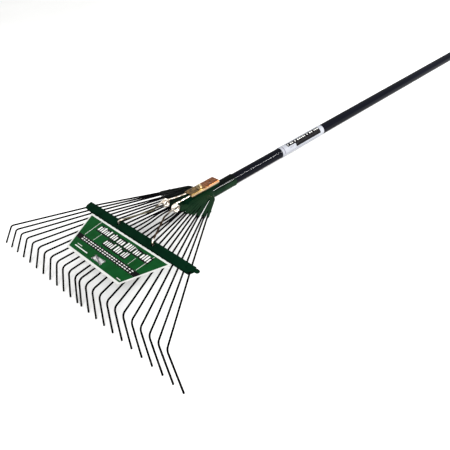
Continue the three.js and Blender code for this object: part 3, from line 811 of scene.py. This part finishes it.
# ---------- head and socket ----------
BLEND_START, BLEND_END = 166, 190  # along the axis, the flat head runs into the round socket
SHOULDER_END = 172
FLUTE_HALF_WIDTH = 2.5
FINGER_ROUND = 1.6  # the fingers' front ends are rounded back by this much
FRONT_OFFSETS = (0, 0.5, 1.2, 2.4, 4, 6, 9, 13, 16, 17)  # rows of the head's sheet behind the finger ends
FLAT_ROWS = (*range(130, 155, 4), 157, 160, 163)
JOINING_ROWS = 2  # rows between the fingers and the flat part
SOCKET_ROLL = 0.35  # the socket's open end is rolled out by this much
SOCKET_ROWS = (*range(166, 191, 3), 196, *range(206, 247, 10), 254, 256.5, SOCKET_END)
FRACTIONS = (-1, -0.62, -0.3, 0, 0.3, 0.62, 1)


def slot_depth(rank, side):
    return SLOT_DEPTHS[rank] + LEFT_SPLIT_EXTRA * (rank == SPLIT_RANK - 1 and side > 0)


def gap_edges(rank, x, side):
    """The two edges of the gap between a tine and the next one out."""
    def spacing(at):
        return inside_y(rank + 1, at, side) - inside_y(rank, at, side)
    middle = inside_y(rank, x, side) + spacing(x) / 2
    front = finger_end(mouth_middle(rank, side)) - 12
    rear = finger_end(mouth_middle(rank, side)) + max(slot_depth(rank, side), 1)
    narrow = SPLIT_SLOT_HALF_WIDTH if rank == SPLIT_RANK - 1 else SLOT_END_HALF_WIDTH
    wide = max(spacing(front) / 2 - FINGER_HALF_WIDTH, narrow)
    share = min(max((x - front) / (rear - front), 0), 1)
    half = min(wide + (narrow - wide) * share, spacing(x) * 0.4)
    return middle - half, middle + half


def mouth_middle(rank, side):
    return (mouth_y(rank, side) + mouth_y(rank + 1, side)) / 2


def side_edge(x):
    return inside_y(RANKS - 1, x, 1) + SIDE_MARGIN


def head_columns(x, side):
    """For one side, from the middle out: (y, sheet height over the tine plane, share of the finger)."""
    out = [(0, VALLEY, 1)]
    fade = 1 - smooth(x, 140, 168)
    for rank in range(RANKS):
        line = inside_y(rank, x, side)
        inner = gap_edges(rank - 1, x, side)[1] if rank else line - FLUTE_HALF_WIDTH
        outer = gap_edges(rank, x, side)[0] if rank < RANKS - 1 else side_edge(x) - 0.7
        for f in FRACTIONS:
            y = line + (f * (outer - line) if f > 0 else -f * (inner - line))
            lift = 0.5 + 0.5 * cos(pi * min(1, abs(y - line) / FLUTE_HALF_WIDTH))
            out.append((y, VALLEY + (CREST - VALLEY) * lift * fade, abs(f)))
    edge = side_edge(x)
    return out + [(edge - d, height, 1) for d, height in ((0.4, 1.9), (0.1, 1.1), (0, 0.15))]


def head_row_x(row, share, y):
    """Where a row of the fingers' sheet is at y; its outline's corners are rounded back by share."""
    front = finger_end(y)
    count = len(FRONT_OFFSETS)
    if row < count:
        offset = FRONT_OFFSETS[row]
        return front + offset + FINGER_ROUND * share**3 * max(0, 1 - offset / 6)
    last = front + FRONT_OFFSETS[-1]
    return last + (FLAT_ROWS[0] - last) * (row - count + 1) / (JOINING_ROWS + 1)


def funnel_drop(x, y, depth):
    """The lower shell's depth below the tine plane, where it swells from the sheet into the socket."""
    if x <= FUNNEL_START:
        return depth
    end = from_axis(FUNNEL_END, 0, 0)
    share = min((x - FUNNEL_START) / (end[0] - FUNNEL_START), 1)
    radius = CREST + (SOCKET_OUTER - CREST) * share
    centre = (end[2] + HEAD_SLOPE * end[0]) * share
    swell = sqrt(max(radius**2 - y**2, 0)) - centre if abs(y) < radius else -9
    softness = 1.2
    return softness * log(exp(depth / softness) + exp(swell / softness))


def across_head(way, places):
    """A row right across a shell; places(side) gives (x, y, depth) from the middle out."""
    def half(side):
        return [(x, side * y, -HEAD_SLOPE * x + way * depth) for x, y, depth in places(side)]
    return half(-1)[::-1] + half(1)[1:]


def finger_row(row, way):
    """A row across the fingers, which follows their ends."""
    def places(side):
        for k, (y, _, share) in enumerate(head_columns(MOUTH_X, side)):
            x = head_row_x(row, share, y)
            y, height, _ = head_columns(x, side)[k]
            yield x, y, height
    return across_head(way, places)


def flat_row(x, way):
    """A row across the flat part behind the fingers."""
    def places(side):
        for y, height, _ in head_columns(x, side):
            yield x, y, height if way > 0 else funnel_drop(x, y, height)
    return across_head(way, places)


def shell_shape(way):
    """The upper (way 1) or lower (-1) shell's outside, with the slots between its fingers open."""
    rows = [finger_row(row, way) for row in range(len(FRONT_OFFSETS) + JOINING_ROWS)]
    rows += [flat_row(x, way) for x in FLAT_ROWS]
    for s in SOCKET_ROWS:
        flat = np.array(flat_row(min(from_axis(s, 0, 0)[0], SHOULDER_END), way))
        t = smooth(s, BLEND_START - 1, BLEND_END)
        radius = SOCKET_OUTER + (SOCKET_ROLL if s > SOCKET_END - 3 else 0)
        rows.append((flat * (1 - t) + half_circle(flat, s, radius, way) * t).tolist())
    vertices, faces = grid(rows)
    cells = len(rows[0]) - 1
    open_rows = open_cells(cells // 2)
    kept = [f for n, f in enumerate(faces) if n // cells >= open_rows.get(n % cells, 0)]
    return vertices, kept


def half_circle(flat, s, radius, way):
    """Half of the socket's circle at s, with its points spread as a flat row's are along that row."""
    steps = np.linalg.norm(np.diff(flat, axis=0), axis=1)
    shares = np.concatenate([[0], np.cumsum(steps)]) / steps.sum()
    angles = pi * (shares - 0.5) * 0.994
    return np.array([from_axis(s, radius * sin(a), way * radius * cos(a)) for a in angles])


def open_cells(middle):
    """Grid columns that lie in a slot, with the number of rows that are open."""
    cells = {}
    for side in (1, -1):
        for rank in range(RANKS - 1):
            depth = slot_depth(rank, side)
            if depth <= FRONT_OFFSETS[-1]:
                rows = sum(offset < depth - 0.01 for offset in FRONT_OFFSETS)
            else:
                end = finger_end(mouth_middle(rank, side)) + depth
                rows = len(FRONT_OFFSETS) + JOINING_ROWS + sum(x < end for x in FLAT_ROWS)
            cell = (rank + 1) * len(FRACTIONS)
            cells[middle + cell if side > 0 else middle - 1 - cell] = rows
    return cells


def channel_top(s, half, top, bend, steps):
    """The top of a channel's section at s with its two bends, from -Y to +Y."""
    out = []
    for side, start in ((-1, 180), (1, 90)):
        for i in range(steps + 1):
            a = radians(start - 90 * i / steps)
            out.append((s, side * (half - bend) + bend * cos(a), top - bend + bend * sin(a)))
    return out


def ridge_shape():
    """The raised channel under the bracket, with a sloped nose and tail."""
    slope = ((0, 0.1), (1, 0.35), (3, 0.7), (6, 0.93), (9, 1))  # (from the end, share of the height)
    stations = [(RIDGE_START + d, share) for d, share in slope]
    stations += [(RIDGE_END - d, share) for d, share in reversed(slope)]
    rows = []
    for s, share in stations:
        top = RIDGE_FOOT + (RIDGE_TOP - RIDGE_FOOT) * share
        half = RIDGE_HALF_WIDTH - 1.2 * (1 - share)
        side = min(9, top - RIDGE_BEND)
        rows.append([
            (s, -half - 0.8, 4), (s, -half, side), *channel_top(s, half, top, RIDGE_BEND, 6),
            (s, half, side), (s, half + 0.8, 4),
        ])
    return grid(rows, around=True, caps=True)


def head():
    def pressed(obj):
        apply(obj, "SOLIDIFY", thickness=SHELL_SHEET * MM, offset=-1)
        ease_edges(obj, 0.25, angle=60)
    for name, way, node in (("head_top_pressing", 1, "head_upper_shell"),
                            ("head_under_pressing", -1, "head_lower_shell")):
        piece(name, shell_shape(way), HEAD_ENAMEL, "green_enamel", [node], finish=pressed)
    axis_piece("head_ridge_pressing", ridge_shape(), GREEN_ENAMEL, "green_enamel", ["head_upper_shell"])
    low = -HEAD_SLOPE * HEAD_RIVET_X + VALLEY
    under = -HEAD_SLOPE * HEAD_RIVET_X - CREST
    foot = [(0, under - 0.8), (1.8, under - 0.7), (2.2, under - 0.2), (2.2, under + 0.6), (0, under + 0.6)]
    for name, y in (("left", HEAD_RIVET_Y), ("right", -HEAD_RIVET_Y)):
        shape = rivet(HEAD_RIVET_X, y, (2.4, 1.9, low + 0.3), foot)
        piece("head_rivet_dome_" + name, shape, GREEN_ENAMEL, "green_enamel", ["head_rivet_" + name])
    seat = -SOCKET_OUTER - 0.3
    profile = [(0, seat - 2.6), (2, seat - 2.35), (3.4, seat - 1.5), (3.9, seat - 0.5), (4, seat),
               (1.7, seat + 0.1), (1.7, -5.5), (0, -4.5)]

    def slotted(obj):
        for x, y in ((0.45, 2.4), (2.4, 0.45)):
            outline = [(SOCKET_SCREW_S + a * x, b * y) for a, b in ((-1, -1), (1, -1), (1, 1), (-1, 1))]
            cut(obj, prism(outline, seat - 4, seat - 1.2))
    axis_piece("socket_screw_turned", moved(turned(profile, 40), SOCKET_SCREW_S), ZINC, "fastener_zinc",
               ["socket_screw"], finish=slotted)


# ---------- handle ----------
def handle():
    end = HANDLE_START + HANDLE_LENGTH - HANDLE_END_GAP
    arc = [radians(90 * i / 10) for i in range(11)]
    profile = [(0, HANDLE_START), (HANDLE_RADIUS - 2, HANDLE_START), (HANDLE_RADIUS, HANDLE_START + 2)]
    profile += [(HANDLE_RADIUS, s) for s in range(200, int(end) - 10, 60)]
    profile += [
        (HANDLE_RADIUS - HANDLE_END_ROUND * (1 - cos(a)), end - HANDLE_END_ROUND * (1 - sin(a)))
        for a in arc
    ]
    shape = along_x(turned([*profile, (0, end)], 96))
    axis_piece("handle_turned", shape, LACQUER, "handle_lacquer", ["handle"], crease=60)


SLEEVE_RADIUS = HANDLE_RADIUS + 0.7
SLEEVE_INK = 0.04  # thickness of one printed layer
BAND_START, BAND_WIDE_START, BAND_END = 440, 467, 562  # the sleeve's black band along the handle


def wrapped(s0, s1, turn0, turn1, layer=1):
    """A printed patch round the sleeve; turns are in degrees from the top towards -Y."""
    low, high = SLEEVE_RADIUS - 0.05, SLEEVE_RADIUS + SLEEVE_INK * layer
    count = max(2, ceil(abs(turn1 - turn0) / 4))
    angles = [radians(turn0 + (turn1 - turn0) * i / count) for i in range(count + 1)]

    def row(s):
        outer = [(s, -high * sin(a), high * cos(a)) for a in angles]
        inner = [(s, -low * sin(a), low * cos(a)) for a in angles]
        return [*outer, *reversed(inner)]
    length = max(1, ceil(abs(s1 - s0) / 12))
    return grid([row(s0 + (s1 - s0) * i / length) for i in range(length + 1)], around=True, caps=True)


def label():
    inner, outer, start, end = HANDLE_RADIUS + 0.02, SLEEVE_RADIUS, LABEL_START, LABEL_END
    profile = [(inner, start), (outer - 0.2, start), (outer, start + 0.3)]
    profile += [(outer, s) for s in range(start + 20, end - 10, 20)]
    profile += [(outer, end - 0.3), (outer - 0.2, end), (inner, end), (inner, start)]
    axis_piece("handle_sleeve", along_x(turned(profile, 96)), SLEEVE_WHITE, "label_sleeve",
               ["handle_label"])
    band = joined(wrapped(BAND_START, BAND_END, 0, 40), wrapped(BAND_WIDE_START, BAND_END, 39.5, 80))
    axis_piece("sleeve_band", band, INK_BLACK, "label_sleeve")
    marks, at = [], BAND_START + 3.0
    widths = random.Random(3)
    while at < BAND_END - 6:
        length = widths.choice((2.4, 3.2, 4.2))
        marks.append(wrapped(at, at + length, 11, 26, 2))
        at += length + widths.choice((2.6, 3.2, 7))
    axis_piece("sleeve_marks", joined(*marks), INK_WHITE, "label_sleeve")
    # Each line's start and end from the sleeve's start, and the turns that it covers.
    lines = ((12, 156, 96, 98), (7, 9, 5, 90), (26, 44, 50, 53), (26, 40, 60, 63))
    shapes = [wrapped(start + s0, start + s1, turn0, turn1) for s0, s1, turn0, turn1 in lines]
    axis_piece("sleeve_lines", joined(*shapes), INK_GREY, "label_sleeve")


# ---------- bracket, bolt and brace spring ----------
def bracket():
    half = BRACKET_HALF_WIDTH
    rows = []
    ends = ((0, 2.6), (0.7, 1.2), (1.8, 0.4), (3.2, 0))  # (from the end, flange shortened by)
    stations = [(BRACKET_START + d, c) for d, c in ends]
    stations += [(BRACKET_START + 6 + 9 * i, 0) for i in range(8)]
    stations += [(BRACKET_END - d, c) for d, c in reversed(ends)]
    for s, short in stations:
        low = BRACKET_TOP - BRACKET_FLANGE + short
        middle = (low + BRACKET_TOP - BRACKET_BEND) / 2
        rows.append([
            (s, -half, low), (s, -half, middle), *channel_top(s, half, BRACKET_TOP, BRACKET_BEND, 8),
            (s, half, middle), (s, half, low),
        ])

    def finish(obj):
        apply(obj, "SOLIDIFY", thickness=BRACKET_SHEET * MM, offset=-1, use_even_offset=True)
        cut(obj, column(BOLT_S, 0, 15, 32, BOLT_RADIUS + 0.3))
        cut(obj, column(SPARE_HOLE_S, 0, 15, 32, SPARE_HOLE_RADIUS))
        ease_edges(obj, 0.3)
    axis_piece("brace_bracket_channel", grid(rows), BRACKET_PLATE_PAINTED_LIGHT, "bracket_plate", ["brace_bracket"],
               finish=finish)


def fasteners():
    washer_low = BRACKET_TOP + 0.05
    washer_high = washer_low + WASHER_SHEET
    hole = BOLT_RADIUS + 0.2
    profile = [(hole, washer_low), (WASHER_RADIUS, washer_low), (WASHER_RADIUS, washer_high - 0.25),
               (WASHER_RADIUS - 0.25, washer_high), (hole + 0.2, washer_high), (hole, washer_high - 0.2),
               (hole, washer_low)]
    nut_low = washer_high + 0.02
    nut = hexagonal(NUT_FLATS, nut_low, nut_low + NUT_HEIGHT, hole)
    seat = -SOCKET_OUTER - BOLT_SEAT
    bolt = joined(
        threaded(BOLT_RADIUS, 12, nut_low + BOLT_STICKS_OUT), column(0, 0, seat - 0.5, 12.5, 2.4),
        hexagonal(NUT_FLATS, seat - BOLT_HEAD, seat),
    )
    for name, shape, node in (("brace_washer_turned", turned(profile), "brace_washer"),
                              ("brace_nut_hexagon", nut, "brace_nut"),
                              ("brace_bolt_threaded", bolt, "brace_bolt")):
        axis_piece(name, moved(shape, BOLT_S), YELLOW_ZINC, "fastener_zinc", [node])


def coil_point(angle, side):
    return np.array([
        COIL_X - COIL_RADIUS * sin(angle),
        side * (COIL_START_Y + COIL_PITCH * angle / (2 * pi)),
        COIL_Z + COIL_RADIUS * cos(angle),
    ])


def brace_route(side):
    """One half of the brace, from the bend behind the bolt through its coil to its hook."""
    height = BRACKET_TOP - BRACKET_SHEET - 0.3 - WIRE_RADIUS
    turn_s = BRACKET_END - ANCHOR_END
    turn = [
        from_axis(turn_s + ANCHOR_Y * cos(a), side * ANCHOR_Y * sin(a), height)
        for a in np.linspace(0, pi / 2, 10)
    ]
    way_in = flowing([
        from_axis(turn_s - 20, side * ANCHOR_Y, height),
        from_axis(BRACKET_START + 4, side * ANCHOR_Y, height),
        from_axis(BRACKET_START - 6, side * 7, height + 0.6),
        np.array([COIL_X + 22, side * 9.4, COIL_Z + COIL_RADIUS - 5]),
        np.array([COIL_X + 8, side * COIL_START_Y, COIL_Z + COIL_RADIUS - 1.2]),
        coil_point(0, side),
    ])
    steps = 40 * COIL_TURNS
    coil = [coil_point(2 * pi * COIL_TURNS * i / steps, side) for i in range(1, steps + 1)]
    kink = np.array([LEG_KINK[0], side * LEG_KINK[1], LEG_KINK[2]])
    top = np.array([HOOK_X, side * HOOK_Y, HOOK_Z])
    foot = np.array([HOOK_X, side * HOOK_Y, HOOK_FOOT_Z])
    toe = np.array([HOOK_X + HOOK_FOOT_LENGTH, side * HOOK_Y, HOOK_FOOT_Z - 1])
    leg = [
        *arc_corner(coil[-1], kink, top, 7, 8), *arc_corner(kink, top, foot, 4.5, 12),
        *arc_corner(top, foot, toe, 3, 8), toe,
    ]
    return spaced([*turn, *way_in, *coil], 4) + spaced([coil[-1], *leg], 4)[1:]


def brace():
    # The two halves are one wire; the different tones of their legs are painted shade.
    halves = (("left", 1, "#4a4737", "#2b2820"), ("right", -1, "#3d2c1b", "#1f160f"))
    for name, side, shade, dark in halves:
        half = piece(
            "brace_wire_" + name, wire(brace_route(side), WIRE_RADIUS, 18),
            brace_wire_material("brace_wire_" + name, shade, dark), "spring_wire",
            ["brace_anchor", "brace_coil_" + name, "brace_leg_" + name], body=None,
        )
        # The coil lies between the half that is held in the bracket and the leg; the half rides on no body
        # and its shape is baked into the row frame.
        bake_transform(half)


# ---------- header card ----------
CARD_INK = 0.05  # thickness of one printed layer
CARD_BORDER = 4
CARD_BAND_TOP_X, CARD_BAND_BOTTOM_X = -76, -88


def card_edge(x, margin=0):
    """Half the card's width at x, less a margin."""
    share = (x - CARD_TOP_X) / (CARD_BOTTOM_X - CARD_TOP_X)
    return CARD_TOP_HALF + (CARD_BOTTOM_HALF - CARD_TOP_HALF) * share - margin


def band_outline(x0, x1):
    """A stretch of the card between two x, inside its border."""
    return [
        (x, CARD_SHIFT + way * card_edge(x, CARD_BORDER))
        for x, way in ((x0, -1), (x0, 1), (x1, 1), (x1, -1))
    ]


def stroke(x0, y0, x1, y1, width):
    """A straight printed line as an outline."""
    a, b = np.array((x0, y0), float), np.array((x1, y1), float)
    across = unit(b - a)[::-1] * (-1, 1) * width / 2
    return [tuple(a + across), tuple(b + across), tuple(b - across), tuple(a - across)]


def ink(name, outlines, material, layer):
    low = CARD_HIGH - 0.02
    high = CARD_HIGH + CARD_INK * layer
    shape = joined(*(prism(outline, low, high) for outline in outlines))
    piece(name, shape, material, "printed_card", body="fan")


def word_bars(shapes, start, end, x0, x1):
    """A backing for each word of a line, and the row of narrow bars that stands for its letters."""
    backs, letters, y = [], [], start
    while y > end + 12:
        first = y
        for _ in range(shapes.randint(3, 6)):
            width = shapes.choice((2.7, 3.4, 4.2))
            tall = x0 - shapes.choice((0, 3, 3.6))
            letters.append(rounded_outline(x1, tall, y - width, y, 1, 4))
            y -= width + 2.9
        backs.append(rounded_outline(x1 - 3.2, x0 + 0.1, y - 0.6, first + 1.6, 2, 5))
        y -= 3.4
    return backs, letters


def card():
    outline = [(x, CARD_SHIFT + way * card_edge(x))
               for x, way in ((CARD_BOTTOM_X, -1), (CARD_TOP_X, -1), (CARD_TOP_X, 1), (CARD_BOTTOM_X, 1))]
    ties = tie_spots()

    def finish(obj):
        for y in ties.values():
            for off in (-CARD_TIE_HALF, CARD_TIE_HALF):
                cut(obj, column(CARD_TIE_X, y + off, -1, 6, 1))
        ease_edges(obj, 0.12, segments=1)
    piece("card_sheet", prism(outline, CARD_LOW, CARD_HIGH), CARD_WHITE, "printed_card", ["header_card"],
          "fan", finish=finish)
    fields = [
        band_outline(CARD_TOP_X - CARD_BORDER, CARD_BAND_TOP_X),
        band_outline(CARD_BAND_BOTTOM_X, CARD_BOTTOM_X + CARD_BORDER + 1),
    ]
    ink("card_green_field", fields, CARD_GREEN, 1)
    ink("card_black_band", [band_outline(CARD_BAND_TOP_X - 0.05, CARD_BAND_BOTTOM_X + 0.05)], INK_BLACK, 1)
    shapes = random.Random(11)
    backs, letters = word_bars(shapes, 80, -78, -35.5, -49.5)
    for more, row in zip((backs, letters), word_bars(shapes, 34, -46, -54, -68)):
        more += row
    ink("card_title_shadow", backs, INK_BLACK, 2)
    ink("card_title", letters, INK_WHITE, 3)
    rules = (
        (-31, 92, -74, 90, 0.9), (-52, 60, -74, 60, 0.7), (-31, -83.5, -74.5, -81, 0.9),
        (-55, -55.3, -74, -55.3, 0.7), (-103.5, 81, -103.5, 38, 2), (-98, 80, -98, 64, 1),
        (-108, -66, -108, -77.5, 1.4),
    )
    dashes, y = [], 86.0
    while y > -82:
        for x in (-79.6, -84.4):
            length = shapes.uniform(3.4, 5.4)
            dashes.append(stroke(x, y, x, y - length, 2))
        y -= shapes.uniform(7.4, 9)
    ink("card_rules", [stroke(*rule) for rule in rules], INK_WHITE, 2)
    ink("card_band_marks", dashes, INK_WHITE, 2)
    ink("card_code_box", [rounded_outline(-91.5, -111, 23, -17.5, 3, 5)], INK_WHITE, 2)
    bars = random.Random(7)
    strokes, y = [], 17
    while y > -11:
        width = bars.choice((0.8, 1.2, 1.8))
        strokes.append(stroke(-95.5, y, -107, y, width))
        y -= width + bars.choice((1.6, 2, 2.6))
    ink("card_code_bars", strokes, INK_GREY, 3)


def tie_spots():
    return {"left": tine_at(4, CARD_TIE_X), "right": -tine_at(2, CARD_TIE_X)}


def ties():
    crown = CARD_HIGH + 0.05 + CARD_TIE_RADIUS
    under = -TINE_RADIUS - 0.1 - CARD_TIE_RADIUS
    for name, y in tie_spots().items():
        def at(off, z, dx=0.0):
            return (CARD_TIE_X + dx, y + off, z)
        loop = bent(
            [at(-0.7, under - 0.4), at(-CARD_TIE_HALF, under - 0.2), at(-CARD_TIE_HALF, crown),
             at(CARD_TIE_HALF, crown), at(CARD_TIE_HALF, under - 0.2), at(0.7, under - 0.4)], 1.1,
        )
        # The two ends are twisted together under the tine and laid along it.
        twist = []
        for phase in (0, pi):
            strand = [
                np.array([CARD_TIE_X - t * 9, y + 0.62 * cos(phase + t * 11),
                          under - 0.5 + 0.62 * sin(phase + t * 11)])
                for t in np.linspace(0, 1, 60)
            ]
            twist.append(wire(strand, CARD_TIE_RADIUS * 0.95, 10))
        piece("card_tie_twist_" + name, joined(wire(spaced(loop, 1), CARD_TIE_RADIUS, 12), *twist), ZINC,
              "tie_wire", ["card_tie_" + name], "fan")


tines()
crossbar()
head()
handle()
label()
bracket()
fasteners()
brace()
card()
ties()

# ---------- floor, light, camera ----------
FLOOR_HALF = 9  # metres, as are the places and sizes of the lights


def floor():
    mesh = bpy.data.meshes.new("floor")
    corners = ((-1, -1), (1, -1), (1, 1), (-1, 1))
    mesh.from_pydata([(FLOOR_HALF * x, FLOOR_HALF * y, 0) for x, y in corners], [], [(0, 1, 2, 3)])
    n = Nodes("pale_floor")
    n.feed(n.mixed(n.ranged(n.noise(400, 2), 0, 1), "#d7d7d6", "#dbdbda"), "Base Color")
    n.set(Roughness=0.9, Specular_IOR_Level=0.1)
    mesh.materials.append(n.material)
    linked("floor", mesh)


def area_light(name, place, target, size, power):
    light = bpy.data.lights.new(name, "AREA")
    light.shape = "RECTANGLE"
    light.size, light.size_y = size
    light.energy = power
    turn = (Vector(target) - Vector(place)).to_track_quat("-Z", "Y").to_matrix().to_4x4()
    linked(name, light, Matrix.Translation(place) @ turn)


def studio():
    floor()
    world = bpy.data.worlds.new("studio")
    world.use_nodes = True
    background = world.node_tree.nodes["Background"]
    background.inputs["Color"].default_value = (1, 1, 1, 1)
    background.inputs["Strength"].default_value = 1.0
    bpy.context.scene.world = world
    # The main light stands on the camera's side, so that the card hides most of its own shadow. The
    # narrow one lies along the handle and gives it its long highlight.
    area_light("key", (-2.6, -3.2, 2.9), (-0.4, -0.2, 0), (3, 3), 330)
    area_light("strip", (0.75, -1.0, 0.88), (0.75, 0, 0.07), (0.6, 0.03), 45)
    bpy.context.scene.view_settings.view_transform = "Standard"


# The camera in the rake's own frame.
CAMERA_AT = (-379.6, -771.0, 674.0)
CAMERA_FORWARD = (0.466, 0.611, -0.640)
CAMERA_UP = (0.547, 0.369, 0.751)
LENS = 43.7


def camera():
    data = bpy.data.cameras.new("camera")
    data.lens, data.sensor_width = LENS, 36
    data.clip_start, data.clip_end = 0.05, 50
    back = -Vector(CAMERA_FORWARD).normalized()
    right = Vector(CAMERA_UP).cross(back).normalized()
    turn = Matrix((right, back.cross(right), back)).transposed().to_4x4()
    place = RAKE @ Matrix.Translation(Vector(CAMERA_AT) * MM) @ turn
    bpy.context.scene.camera = linked("camera", data, place)


studio()
camera()
